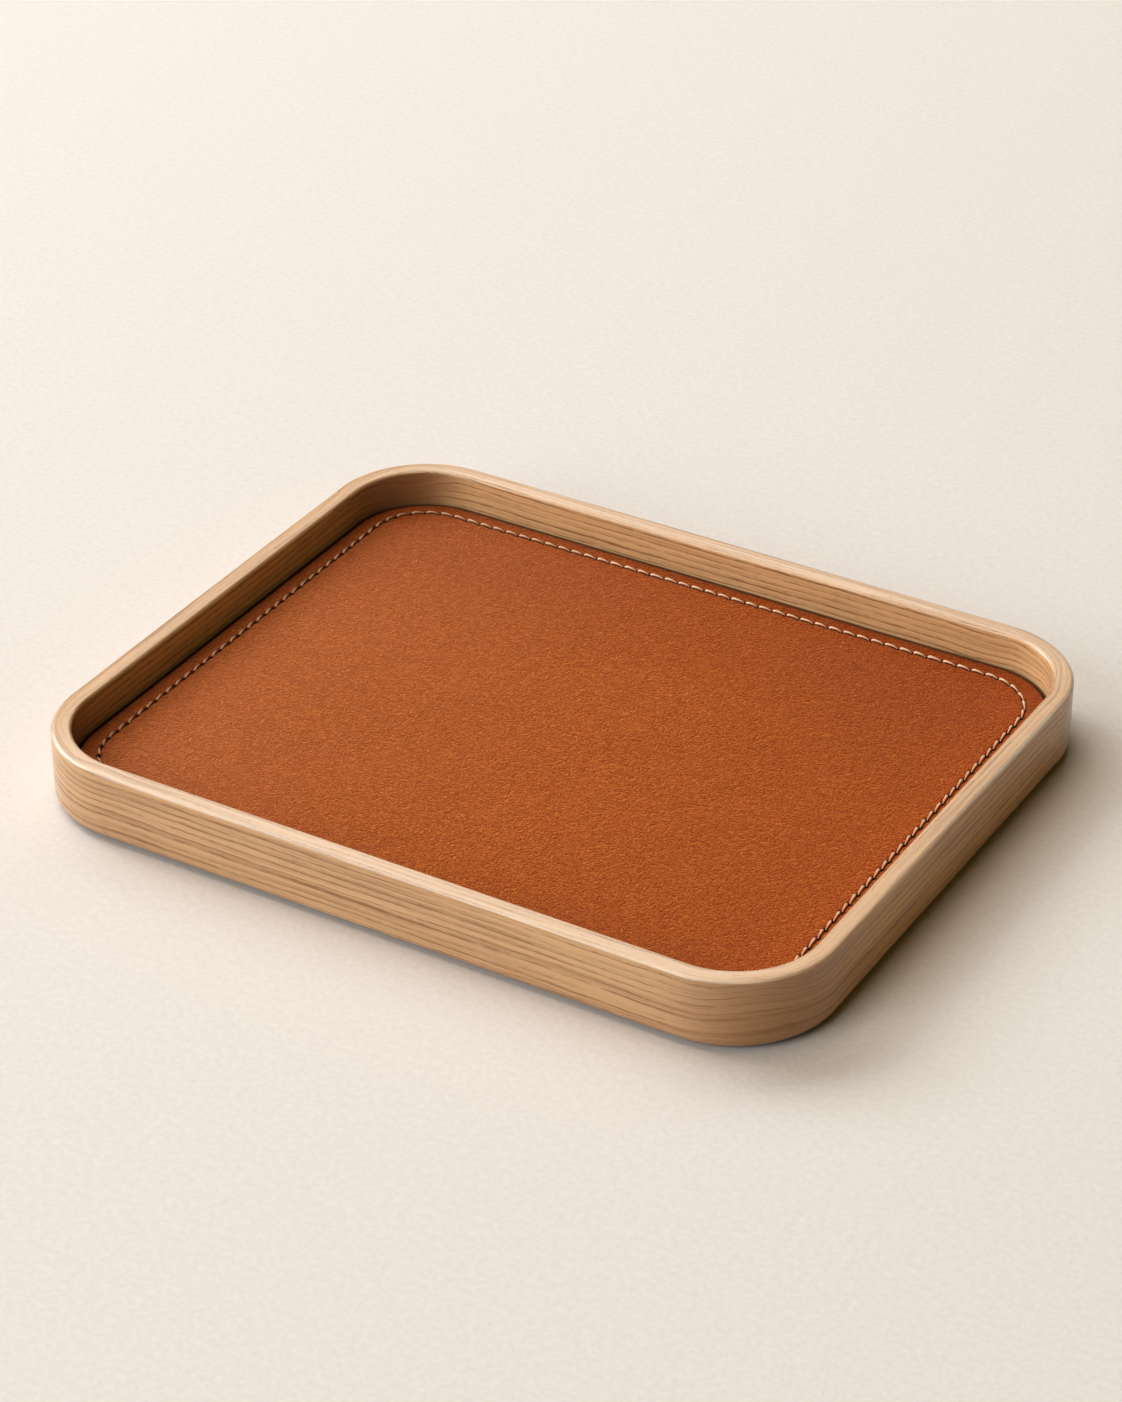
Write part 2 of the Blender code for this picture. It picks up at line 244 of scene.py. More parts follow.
# Fill from the surroundings, on the side away from the lamps and on their side.
FILL_RIGHT = (0.060, 0.042, 0.011, 1.0)
FILL_LEFT = (0.060, 0.047, 0.012, 1.0)
FLOOR_SIZE = 12.0


def clamp(value):
    """A number kept between 0 and 1."""
    return min(1.0, max(0.0, value))


class Graph:
    """Short ways to add nodes to a material."""

    def __init__(self, name):
        self.material = bpy.data.materials.new(name)
        self.material.use_nodes = True
        self.tree = self.material.node_tree
        self.shader = self.tree.nodes["Principled BSDF"]

    def add(self, kind, **settings):
        """A new node of a kind, with its settings."""
        node = self.tree.nodes.new(kind)
        for key, value in settings.items():
            setattr(node, key, value)
        return node

    def feed(self, socket, value):
        """Link an output to a socket, or set the socket's own value."""
        if isinstance(value, bpy.types.NodeSocket):
            self.tree.links.new(value, socket)
        else:
            socket.default_value = value

    def set(self, name, value):
        """Feed one of the shader's inputs."""
        self.feed(self.shader.inputs[name], value)

    def place(self):
        """The place of a point, in the object's own metres."""
        return self.add("ShaderNodeTexCoord").outputs["Object"]

    def attribute(self, name):
        """A number kept on the mesh's vertices."""
        return self.add("ShaderNodeAttribute", attribute_name=name).outputs["Fac"]

    def split(self, vector):
        """The three numbers of a vector."""
        node = self.add("ShaderNodeSeparateXYZ")
        self.feed(node.inputs[0], vector)
        return tuple(node.outputs)

    def math(self, operation, first, second=0.0, third=None):
        """One step of arithmetic on two or three numbers."""
        node = self.add("ShaderNodeMath", operation=operation)
        self.feed(node.inputs[0], first)
        self.feed(node.inputs[1], second)
        if third is not None:
            self.feed(node.inputs[2], third)
        return node.outputs[0]

    def scaled(self, value, times, plus):
        """A number times another, plus a third."""
        return self.math("MULTIPLY_ADD", value, times, plus)

    def centred(self, value):
        """A noise moved to lie round zero."""
        return self.math("SUBTRACT", value, 0.5)

    def plane(self, first, second, scale_first, scale_second, shift=0.0):
        """A flat vector from two lengths, each times its own scale."""
        node = self.add("ShaderNodeCombineXYZ")
        self.feed(node.inputs[0], self.scaled(first, scale_first, shift))
        self.feed(node.inputs[1], self.scaled(second, scale_second, shift))
        return node.outputs[0]

    def noise(self, vector, scale=1.0, detail=2.0, rough=0.5, bend=0.0):
        """Cloudy noise from 0 to 1."""
        node = self.add("ShaderNodeTexNoise", noise_dimensions="3D")
        self.feed(node.inputs["Vector"], vector)
        node.inputs["Scale"].default_value = scale
        node.inputs["Detail"].default_value = detail
        node.inputs["Roughness"].default_value = rough
        node.inputs["Distortion"].default_value = bend
        return node.outputs["Fac"]

    def span(self, value, low, high, out_low=0.0, out_high=1.0):
        """A value's place between low and high, eased and clamped, as a number between two others."""
        node = self.add("ShaderNodeMapRange", interpolation_type="SMOOTHSTEP")
        self.feed(node.inputs["Value"], value)
        node.inputs["From Min"].default_value = low
        node.inputs["From Max"].default_value = high
        node.inputs["To Min"].default_value = out_low
        node.inputs["To Max"].default_value = out_high
        return node.outputs["Result"]

    def ramp(self, value, stops):
        """Colours at their places along a value, blended from one to the next."""
        node = self.add("ShaderNodeValToRGB")
        self.feed(node.inputs["Fac"], value)
        band = node.color_ramp
        for place, _ in stops[1:-1]:
            band.elements.new(place)
        for element, (place, colour) in zip(band.elements, stops):
            element.position = place
            element.color = (*colour, 1.0)
        return node.outputs["Color"]

    def mix(self, share, first, second):
        """One colour turning into another."""
        node = self.add("ShaderNodeMix", data_type="RGBA")
        self.feed(node.inputs[0], share)
        self.feed(node.inputs[6], (*first, 1.0) if isinstance(first, tuple) else first)
        self.feed(node.inputs[7], (*second, 1.0) if isinstance(second, tuple) else second)
        return node.outputs[2]

    def bump(self, height, distance, strength):
        """Fine relief."""
        node = self.add("ShaderNodeBump")
        self.feed(node.inputs["Height"], height)
        node.inputs["Distance"].default_value = distance
        node.inputs["Strength"].default_value = strength
        return node.outputs["Normal"]


def bent_grain(g, along, across, swirl):
    """The way across the grain, bent by slow waves, ripples and the eddies of the corners."""
    waves = g.noise(g.plane(along, across, 5.0, 24.0))
    ripples = g.noise(g.plane(along, across, 62.0, 150.0, shift=7.0), detail=3.0, rough=0.55)
    eddies = g.noise(g.plane(along, across, 22.0, 30.0, shift=3.0), detail=1.0)
    bent = g.scaled(g.centred(waves), WAVE_REACH, across)
    bent = g.scaled(g.centred(ripples), RIPPLE_REACH, bent)
    return g.scaled(g.math("MULTIPLY", g.centred(eddies), swirl), EDDY_REACH, bent)


def early_wood(g, along, bent, pitch):
    """Dark lines a pitch apart, uneven in their spacing and strength and broken along their length."""
    count = g.math("DIVIDE", bent, pitch)
    uneven = g.noise(g.plane(count, count, 0.8, 0.0, shift=11.0), detail=1.0)
    count = g.scaled(uneven, 1.6, count)
    ring = g.add("ShaderNodeTexWhiteNoise", noise_dimensions="1D")
    g.feed(ring.inputs["W"], g.math("FLOOR", count))
    line = g.ramp(g.math("FRACT", count), [(place, (level,) * 3) for place, level in RING_LEVELS])
    dashes = g.noise(g.plane(along, count, 90.0, 2.5, shift=5.0), detail=3.0, rough=0.6)
    line = g.math("MULTIPLY", line, g.span(dashes, 0.34, 0.60, 0.32, 1.0))
    return g.math("MULTIPLY", line, g.scaled(ring.outputs["Value"], 0.55, 0.45))


def painted_shade_and_highlight(g, colour, swirl, broad, corner_shade, foot_shade):
    """Painted shade round the corners, at the foot of the inner wall and on the underside, and a painted
    highlight along the outer top edge.
    """
    x, y, z = g.split(g.place())
    # Painted shade round the corners of one end.
    if corner_shade:
        end, start, strength = corner_shade
        near_end = g.span(g.math("MULTIPLY", x, end), start, CORNER_SHADE_FULL, 0.0, strength)
        colour = g.mix(g.math("MULTIPLY", swirl, near_end), colour, CORNER_SHADE_TINT)
    # Painted shade at the foot of the inner wall, up to a ragged line.
    if foot_shade:
        ragged = g.scaled(g.centred(broad), FOOT_SHADE_RAGGED, z)
        colour = g.mix(g.span(ragged, FOOT_SHADE_LOW, FOOT_SHADE_HIGH, foot_shade, 0.0), colour, FOOT_SHADE_TINT)
    # Painted highlight along the outer top edge, broken in places.
    arris_highlight = g.span(y, -ARRIS_HIGHLIGHT_SPAN, ARRIS_HIGHLIGHT_SPAN, ARRIS_HIGHLIGHT_FRONT, ARRIS_HIGHLIGHT_BACK)
    arris_highlight = g.math("MULTIPLY", arris_highlight, g.span(broad, 0.35, 0.65, 0.3, 1.0))
    edge = g.span(g.attribute("arris"), 0.35, 1.0)
    colour = g.mix(g.math("MULTIPLY", edge, arris_highlight), colour, ARRIS_HIGHLIGHT_TINT)
    # Painted shade on the rim's underside, a dark line along its foot.
    return g.mix(g.span(z, UNDERSIDE_SHADE_LOW, UNDERSIDE_SHADE_HIGH, UNDERSIDE_SHADE_STRENGTH, 0.0), colour, UNDERSIDE_SHADE_TINT)


def oak(name, pitch, line, pore_scale, tone, colours, turned, turned_colours, corner_shade=None, foot_shade=0):
    """Oak with its grain along the map's first way, in a light and a dark colour.

    Both colours turn into the turned ones where the attribute named by turned is strong; these copies paint
    how light falls on that side of the rim.
    """
    g = Graph(name)
    along, across, _ = g.split(g.add("ShaderNodeUVMap", uv_map="grain").outputs[0])
    swirl = g.attribute("swirl")
    bent = bent_grain(g, along, across, swirl)
    early = early_wood(g, along, bent, pitch)
    fibre = g.noise(g.plane(along, bent, 40.0, 3000.0, shift=2.0), detail=3.0, rough=0.65)
    broad = g.noise(g.plane(along, bent, 10.0, 420.0, shift=9.0))
    pores = g.noise(g.plane(along, bent, pore_scale, 3400.0, shift=4.0), detail=1.0, rough=0.4)
    pores = g.math("MULTIPLY", g.span(pores, 0.58, 0.68), g.scaled(early, 0.8, 0.25))

    calm = g.scaled(swirl, -0.45, 1.0)
    shade = g.math("MULTIPLY", g.math("MULTIPLY", early, line), calm)
    shade = g.scaled(g.math("SUBTRACT", 0.5, fibre), tone, shade)
    shade = g.scaled(g.math("SUBTRACT", 0.5, broad), tone * 1.1, shade)
    shade = g.math("ADD", shade, pores)
    facing = g.attribute(turned)
    light, dark = (g.mix(facing, here, there) for here, there in zip(colours, turned_colours))
    colour = g.mix(g.span(shade, -0.35, 1.25), light, dark)
    g.set("Base Color", painted_shade_and_highlight(g, colour, swirl, broad, corner_shade, foot_shade))
    g.set("Roughness", g.scaled(shade, 0.10, 0.42))
    g.set("Specular IOR Level", 0.40)
    g.set("Coat Weight", 0.60)
    g.set("Coat Roughness", 0.12)
    height = g.scaled(pores, -1.0, g.math("MULTIPLY", early, -0.4))
    g.set("Normal", g.bump(g.scaled(fibre, 0.3, height), 0.05 * MM, 0.7))
    return g.material


def leather_fibre(g, at):
    """Curled strokes, each a painted highlight with its painted shadow beside it, over a fine tooth."""
    strokes = 0.0
    for scale, weight in STROKES:
        broken = g.span(g.noise(at, scale / 2, detail=1.0, bend=0.3), 0.40, 0.58, 0.25, 1.0)
        for shift, sign in ((0.0, 1.0), (STROKE_SHIFT, -STROKE_SHADOW)):
            drawn = g.add("ShaderNodeMapping")
            g.feed(drawn.inputs["Vector"], at)
            drawn.inputs["Location"].default_value = (shift, -shift, 0.0)
            curl = g.noise(drawn.outputs["Vector"], scale, detail=0.0, bend=0.9)
            line = g.span(g.math("ABSOLUTE", g.centred(curl)), 0.0, 0.11, 1.0, 0.0)
            strokes = g.scaled(g.math("MULTIPLY", line, broken), weight * sign, strokes)
    tooth = g.noise(at, 1700.0, detail=0.0, bend=0.8)
    fibre = g.scaled(strokes, 1.60, 0.19)
    fibre = g.scaled(g.span(tooth, 0.38, 0.62), 0.40, fibre)
    return g.math("MAXIMUM", fibre, 0.0)


def leather(name, base, deep, pale, ruddy, sheen_tint):
    """Smooth tan leather: soft clouds of tone under a close curled grain, with painted shade at its holes,
    slits and border, a burnished edge that also paints shade, and a painted sheen to the left.
    """
    g = Graph(name)
    at = g.place()
    cloud = g.noise(at, 17.0, detail=3.0, rough=0.55, bend=0.4)
    blot = g.noise(at, 75.0, detail=4.0, rough=0.6, bend=0.8)
    blush = g.noise(at, 110.0, bend=0.6)
    fibre = leather_fibre(g, at)

    tone = g.scaled(g.centred(cloud), 0.55, 0.68)
    tone = g.scaled(g.centred(blot), 0.30, tone)
    colour = g.mix(g.span(tone, 0.0, 1.0), deep, base)
    colour = g.mix(g.span(blush, 0.50, 0.75, 0.0, 0.10), colour, ruddy)
    # The strokes' painted highlight and shadow.
    colour = g.mix(fibre, colour, pale)
    x, y, _ = g.split(at)
    # Painted sheen to the left, and darker to the right where it falls away.
    leftward = g.scaled(g.centred(cloud), TONE_RAGGED, g.math("MULTIPLY", x, -1.0))
    colour = g.mix(g.span(leftward, *PAINTED_SHEEN_LEFT, 0.0, 0.15), colour, sheen_tint)
    colour = g.mix(g.span(leftward, *SHEEN_FALLOFF_RIGHT, 0.20, 0.0), colour, deep)
    colour = g.mix(g.span(y, *DEEP_BACK, 0.0, 0.28), colour, deep)
    # Painted shade in the holes, slits and border, and the burnished edge.
    g.set("Base Color", g.mix(g.attribute("burnish_and_shade"), colour, BURNISH_AND_SHADE_TINT))
    g.set("Roughness", g.scaled(fibre, -0.08, 0.52))
    g.set("Specular IOR Level", 0.07)
    g.set("Normal", g.bump(fibre, 0.20 * MM, 1.0))
    return g.material


def plain_wood(name, light, dark, along, across, rough):
    """A pale close-grained wood whose grain runs along X or Y."""
    g = Graph(name)
    spread = g.add("ShaderNodeMapping")
    g.feed(spread.inputs["Vector"], g.place())
    spread.inputs["Scale"].default_value = (along, across, across)
    streak = g.noise(spread.outputs["Vector"], detail=4.0, rough=0.65, bend=0.6)
    fleck = g.noise(spread.outputs["Vector"], 6.0, bend=0.2)
    tone = g.scaled(g.span(fleck, 0.55, 0.75), 0.35, g.span(streak, 0.3, 0.7, 0.0, 0.7))
    g.set("Base Color", g.mix(tone, light, dark))
    g.set("Roughness", g.scaled(tone, 0.1, rough))
    g.set("Normal", g.bump(streak, 0.08 * MM, 0.5))
    return g.material


def cork(name):
    """Pressed cork: small grains, each of its own brown."""
    g = Graph(name)
    cells = g.add("ShaderNodeTexVoronoi", feature="F1")
    g.feed(cells.inputs["Vector"], g.place())
    cells.inputs["Scale"].default_value = 900.0
    shades = g.add("ShaderNodeSeparateColor")
    g.feed(shades.inputs[0], cells.outputs["Color"])
    g.set("Base Color", g.ramp(shades.outputs[0], [
        (0.0, (0.13, 0.065, 0.03)), (0.35, (0.36, 0.20, 0.10)),
        (0.75, (0.50, 0.31, 0.17)), (1.0, (0.62, 0.42, 0.25)),
    ]))
    g.set("Roughness", g.scaled(shades.outputs[1], 0.1, 0.8))
    g.set("Normal", g.bump(cells.outputs["Distance"], 0.3 * MM, 0.5))
    return g.material


def suede(name, light, dark):
    """Napped suede: soft, matt and mottled."""
    g = Graph(name)
    at = g.place()
    nap = g.noise(at, 1400.0, detail=4.0, rough=0.7, bend=1.0)
    rub = g.noise(at, 45.0, detail=3.0, bend=0.6)
    tone = g.scaled(g.centred(rub), 1.2, nap)
    g.set("Base Color", g.mix(g.span(tone, 0.25, 0.75), dark, light))
    g.set("Roughness", g.scaled(nap, 0.05, 0.90))
    g.set("Sheen Weight", 0.4)
    g.set("Sheen Roughness", 0.6)
    g.set("Normal", g.bump(nap, 0.25 * MM, 0.7))
    return g.material


def fibreboard(name):
    """Pressed leather board, brown and specked."""
    g = Graph(name)
    speck = g.noise(g.place(), 1100.0, detail=4.0, rough=0.7)
    g.set("Base Color", g.ramp(speck, [
        (0.30, (0.13, 0.085, 0.05)), (0.50, (0.30, 0.21, 0.13)), (0.72, (0.46, 0.35, 0.24)),
    ]))
    g.set("Roughness", g.scaled(speck, 0.1, 0.8))
    g.set("Normal", g.bump(speck, 0.1 * MM, 0.6))
    return g.material


def thread(name, light, dark):
    """Waxed linen: fine fibres laid round the strand, with painted shade between its plies and at each
    stitch's sunk end, darker towards the short sides.
    """
    g = Graph(name)
    along, around, _ = g.split(g.add("ShaderNodeUVMap", uv_map="grain").outputs[0])
    fibre = g.noise(g.plane(along, around, 900.0, 9000.0), detail=3.0, rough=0.6)
    # Painted shade between the plies and at each stitch's sunk end.
    tone = g.scaled(g.attribute("groove"), 0.45, g.math("MULTIPLY", fibre, 0.30))
    x, _, _ = g.split(g.place())
    # Darker towards the short sides.
    aside = g.math("ABSOLUTE", g.math("SUBTRACT", x, ENDS_DARKENING_MIDDLE))
    short_sides_darker = g.span(aside, ENDS_DARKENING_START, ENDS_DARKENING_FULL, 0.0, 0.34)
    g.set("Base Color", g.mix(g.math("ADD", short_sides_darker, g.span(tone, 0.0, 1.0, 0.0, 0.7)), light, dark))
    g.set("Roughness", g.scaled(fibre, 0.1, 0.48))
    g.set("Sheen Weight", 0.1)
    g.set("Normal", g.bump(fibre, 0.04 * MM, 0.5))
    return g.material


def floor_material():
    """Pale matt card with the faintest tooth."""
    g = Graph("floor_card")
    tooth = g.noise(g.place(), 420.0, detail=4.0, rough=0.6)
    g.set("Base Color", g.mix(g.span(tooth, 0.3, 0.7), (0.728, 0.684, 0.666), (0.776, 0.732, 0.714)))
    g.set("Roughness", g.scaled(tooth, 0.05, 0.90))
    g.set("Specular IOR Level", 0.2)
    g.set("Normal", g.bump(tooth, 0.3 * MM, 0.5))
    return g.material


class Loop:
    """A rounded rectangle in plan, run clockwise seen from above from the left end of its back side."""

    def __init__(self, half_x, half_y, radius):
        self.half_x = half_x
        self.half_y = half_y
        self.radius = radius
        self.runs = (2 * (half_x - radius), 2 * (half_y - radius)) * 2
        self.turn = radius * math.pi / 2
        self.length = 2 * (self.runs[0] + self.runs[1]) + 4 * self.turn

    def at(self, travel):
        """Place and inward direction after a travel."""
        rest = travel % self.length
        side = 0
        while rest > self.runs[side] + self.turn:
            rest -= self.runs[side] + self.turn
            side += 1
        heading = -side * math.pi / 2
        bend = max(rest - self.runs[side], 0.0) / self.radius
        ahead = min(rest, self.runs[side]) - self.runs[side] / 2
        out = self.half_y if side % 2 == 0 else self.half_x
        local_x = ahead + self.radius * math.sin(bend)
        local_y = out - self.radius * (1 - math.cos(bend))
        x = local_x * math.cos(heading) - local_y * math.sin(heading)
        y = local_x * math.sin(heading) + local_y * math.cos(heading)
        facing = heading - bend
        return x, y, math.sin(facing), -math.cos(facing)

    def corners(self):
        """Travel at the middle of each corner."""
        places = []
        travel = 0.0
        for run in self.runs:
            places.append(travel + run + self.turn / 2)
            travel += run + self.turn
        return places

    def travel_on(self, other, travel):
        """The travel on another loop that lies square across from a travel on this one."""
        rest = travel % self.length
        done = 0.0
        for run, other_run in zip(self.runs, other.runs):
            if rest <= run:
                return done + rest
            rest -= run
            done += other_run
            if rest <= self.turn:
                return done + rest * other.turn / self.turn
            rest -= self.turn
            done += other.turn
        return done


RIM = Loop(RIM_X, RIM_Y, CORNER_RADIUS)
SEAM = Loop(PAD_X - SEAM_INSET, PAD_Y - SEAM_INSET, PAD_RADIUS - SEAM_INSET)


def add_mesh(name, shape, materials):
    """Turn a bmesh into a smooth object of the scene, with its hard edges kept sharp."""
    bmesh.ops.recalc_face_normals(shape, faces=shape.faces)
    mesh = bpy.data.meshes.new(name)
    shape.to_mesh(mesh)
    shape.free()
    mesh.shade_smooth()
    mesh.set_sharp_from_angle(angle=SMOOTH_ANGLE)
    for material in materials:
        mesh.materials.append(material)
    thing = bpy.data.objects.new(name, mesh)
    bpy.context.scene.collection.objects.link(thing)
    return thing


def bridge(shape, lower, higher):
    """Faces between two closed rings of as many points."""
    for k in range(len(lower)):
        m = (k + 1) % len(lower)
        shape.faces.new((lower[k], lower[m], higher[m], higher[k]))


def rail_travels(start, end):
    """Stations along a rail, close together round the corners."""
    marks = {start, end}
    arcs = max(1, round(RIM.turn / ARC_STEP))
    for lap in (-1, 0, 1):
        travel = lap * RIM.length
        for run in RIM.runs:
            straights = max(1, round(run / STRAIGHT_STEP))
            marks.update(travel + run * k / straights for k in range(straights + 1))
            marks.update(travel + run + RIM.turn * k / arcs for k in range(arcs + 1))
            travel += run + RIM.turn
    inside = sorted(m for m in marks if start <= m <= end)
    kept = [inside[0]]
    for mark in inside[1:]:
        if mark - kept[-1] > LEAST_STEP:
            kept.append(mark)
    return kept


def rim_profile():
    """The rim's section as inset and height, with the face group that each edge starts."""
    points = []

    def arc(inset, height, radius, start, end, groups):
        for k, group in enumerate(groups):
            angle = start + (end - start) * k / ROUND_STEPS
            points.append((inset + radius * math.cos(angle), height + radius * math.sin(angle), group))

    sides = ROUND_STEPS // 2
    tops = ROUND_STEPS - sides
    shoulder = RIM_TOP - TOP_ROUND
    heel = RIM_BASE + BOTTOM_ROUND
    groove_low = PANEL_LOW.z - GROOVE_GAP
    groove_top = PANEL_HIGH.z + GROOVE_GAP
    groove_end = RIM_X - PANEL_HIGH.x - GROOVE_GAP
    arc(BOTTOM_ROUND, heel, BOTTOM_ROUND, math.pi * 3 / 2, math.pi, ["outer"] * ROUND_STEPS)
    points.append((0.0, heel, "outer"))
    arc(TOP_ROUND, shoulder, TOP_ROUND, math.pi, math.pi / 2, ["outer"] * sides + ["top"] * tops)
    points.append((TOP_ROUND, RIM_TOP, "top"))
    arc(WALL - TOP_ROUND, shoulder, TOP_ROUND, math.pi / 2, 0.0, ["top"] * tops + ["inner"] * sides)
    points.append((WALL, shoulder, "inner"))
    points.append((WALL, groove_top, "under"))
    points.append((groove_end, groove_top, "under"))
    points.append((groove_end, groove_low, "under"))
    points.append((WALL, groove_low, "under"))
    points.append((WALL, RIM_BASE, "under"))
    return points


def swirl_at(travel):
    """How strongly the grain eddies: most round the corners."""
    half = RIM.length / 2
    near = min(abs((travel - corner + half) % RIM.length - half) for corner in RIM.corners())
    return math.exp(-((near / SWIRL_REACH) ** 2))


def arris_at(inset, height):
    """How near a point of the section is to the middle of the outer top rounding."""
    rise = (height - RIM_TOP + TOP_ROUND) / TOP_ROUND
    reach = 1.0 - inset / TOP_ROUND
    return 2.0 * rise * reach if rise > 0 and reach > 0 else 0.0


def rim_marks(swirl, in_x, inset, height):
    """A point's values for RIM_MARKS, from the eddies and the inward direction at its station."""
    share = 1.0 if inset > WALL / 2 else SWIRL_OUTSIDE
    return swirl * share, in_x ** 2, max(0.0, in_x) ** 2, max(0.0, -in_x) ** 2, arris_at(inset, height)


def grain_place(group, travel, inset, height):
    """Where a point of the rim lies on the map of the grain."""
    along, across = GRAIN_STARTS[group]
    return travel + along, across + (height if group in ("outer", "inner") else inset)


def make_rail(name, start, end, materials):
    """One rail of the rim: the section carried along its stretch of the plan."""
    travels = rail_travels(start, end)
    profile = rim_profile()
    shape = bmesh.new()
    grain = shape.loops.layers.uv.new("grain")
    marks = [shape.verts.layers.float.new(mark) for mark in RIM_MARKS]
    rows = []
    for travel in travels:
        x, y, in_x, in_y = RIM.at(travel)
        swirl = swirl_at(travel)
        row = []
        for inset, height, _ in profile:
            vert = shape.verts.new((x + in_x * inset, y + in_y * inset, height))
            for mark, value in zip(marks, rim_marks(swirl, in_x, inset, height)):
                vert[mark] = value
            row.append(vert)
        rows.append(row)
    slots = {"outer": 0, "top": 1, "inner": 2, "under": 0}
    for i in range(len(travels) - 1):
        for j, (_, _, group) in enumerate(profile):
            k = (j + 1) % len(profile)
            face = shape.faces.new((rows[i][j], rows[i][k], rows[i + 1][k], rows[i + 1][j]))
            face.material_index = slots[group]
            for loop, (a, b) in zip(face.loops, ((i, j), (i, k), (i + 1, k), (i + 1, j))):
                inset, height, _ = profile[b]
                loop[grain].uv = grain_place(group, travels[a], inset, height)
    for row in (rows[0][::-1], rows[-1]):
        face = shape.faces.new(row)
        for loop in face.loops:
            loop[grain].uv = (loop.vert.co.x * END_GRAIN, loop.vert.co.z)
    return add_mesh(name, shape, materials)


def make_rails(finish):
    """The four rails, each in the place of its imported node."""
    back_right = RIM.runs[0] + RIM.turn + (RIM_Y - CORNER_RADIUS - JOINT_Y)
    right_end = back_right + 2 * JOINT_Y
    front_end = right_end + 2 * (RIM_Y - CORNER_RADIUS - JOINT_Y) + 2 * RIM.turn + RIM.runs[0]
    left_end = front_end + 2 * JOINT_Y
    spans = (
        ("back_rail", left_end - RIM.length, back_right),
        ("right_rail", back_right, right_end),
        ("front_rail", right_end, front_end),
        ("left_rail", front_end, left_end),
    )
    half = JOINT_LINE / 2
    for node, start, end in spans:
        rail = make_rail(node.replace("_rail", "_oak_rail"), start + half, end - half, finish)
        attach(rail, "tray")
        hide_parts(node)


def stitch_holes(rng):
    """Travel along the seam of each hole, evenly spaced with a hand's small errors."""
    count = round(SEAM.length / STITCH_PITCH)
    pitch = SEAM.length / count
    return [k * pitch + rng.uniform(-STITCH_STRAY, STITCH_STRAY) * pitch for k in range(count)]


def stitch_spans(holes):
    """Each hole with the next one, the last with the first a lap on."""
    return list(zip(holes, holes[1:] + [holes[0] + SEAM.length]))


def dent(off, side, near, share, spread=1.0):
    """The hole and the slit beside a stitch, each from 0 to 1, at a place across and along the seam."""
    along = near if share < 0.5 else -near
    hole = ((off - side * HOLE_ASIDE) / HOLE_WIDE) ** 2 + ((along + HOLE_BACK) / HOLE_LONG) ** 2
    slit = ((off - side * SLIT_ASIDE) / SLIT_WIDE) ** 2
    return math.exp(-HOLE_STEEPNESS * hole / spread ** 2), math.exp(-slit) * math.sin(math.pi * share) ** 0.5


def leather_wave(x, y):
    """The slight rise and fall of the leather's middle."""
    return WAVE_HEIGHT * noise.noise((x * WAVE_SCALE, y * WAVE_SCALE, WAVE_SLICE))


def leather_height(x, y, inset, side, near, share):
    """The leather's upper face at an inset from its edge, beside the stitch that it lies along."""
    off = inset - SEAM_INSET
    hole, slit = dent(off, side, near, share)
    height = LEATHER_TOP - SEAM_SINK * math.exp(-((off / SEAM_WIDTH) ** 2))
    height -= EDGE_DROP * max(0.0, -off / SEAM_INSET) ** 2
    height = height - HOLE_DEPTH * hole - SLIT_DEPTH * slit
    return height + leather_wave(x, y) * clamp(off / WAVE_EASE)


def leather_burnish_and_shade(inset, side, near, share):
    """How dark the leather is: painted shade in and round the holes, in the slits beside the stitches and on
    the border outside the seam, and its burnished edge, darkened further as painted shade against the wall.
    """
    hole, slit = dent(inset - SEAM_INSET, side, near, share, HOLE_SHADE_SPREAD)
    burnt = 1.0 - clamp((inset - LEATHER_INSET - 0.45 * LEATHER_ROUND) / (0.7 * LEATHER_ROUND))
    border = (0.17 - 0.08 * side) * clamp((SEAM_INSET - BORDER_START - inset) / BORDER_WIDE)
    return min(1.0, hole * 1.4 + slit * 0.70 + burnt + border)


def leather_columns(holes):
    """Stations along the seam: travel, distance from the nearer hole and share of the way to the next."""
    steps = [step * MM for step in HOLE_STEPS]
    columns = []
    for start, end in stitch_spans(holes):
        gap = end - start
        columns += [(start + step, step, step / gap) for step in steps]
        columns.append((start + gap / 2, gap / 2, 0.5))
        columns += [(end - step, step, 1.0 - step / gap) for step in steps[:0:-1]]
    return columns


def leather_ring(shape, columns, inset, level=None):
    """One ring of the leather at an inset from its edge: at a level, or on its upper face."""
    burnish_and_shade = shape.verts.layers.float["burnish_and_shade"]
    loop = Loop(PAD_X - inset, PAD_Y - inset, PAD_RADIUS - inset)
    aside = clamp(inset / SEAM_INSET)
    ring = []
    for travel, near, share in columns:
        x, y, in_x, in_y = loop.at(SEAM.travel_on(loop, travel))
        side = in_x - in_y
        x, y = x + SEAM_SHIFT[0] * aside, y + SEAM_SHIFT[1] * aside
        height = leather_height(x, y, inset, side, near, share) if level is None else level
        vert = shape.verts.new((x, y, height))
        # Painted shade at holes, slits and border, and the burnished edge.
        vert[burnish_and_shade] = leather_burnish_and_shade(inset, side, near, share)
        ring.append(vert)
    return ring


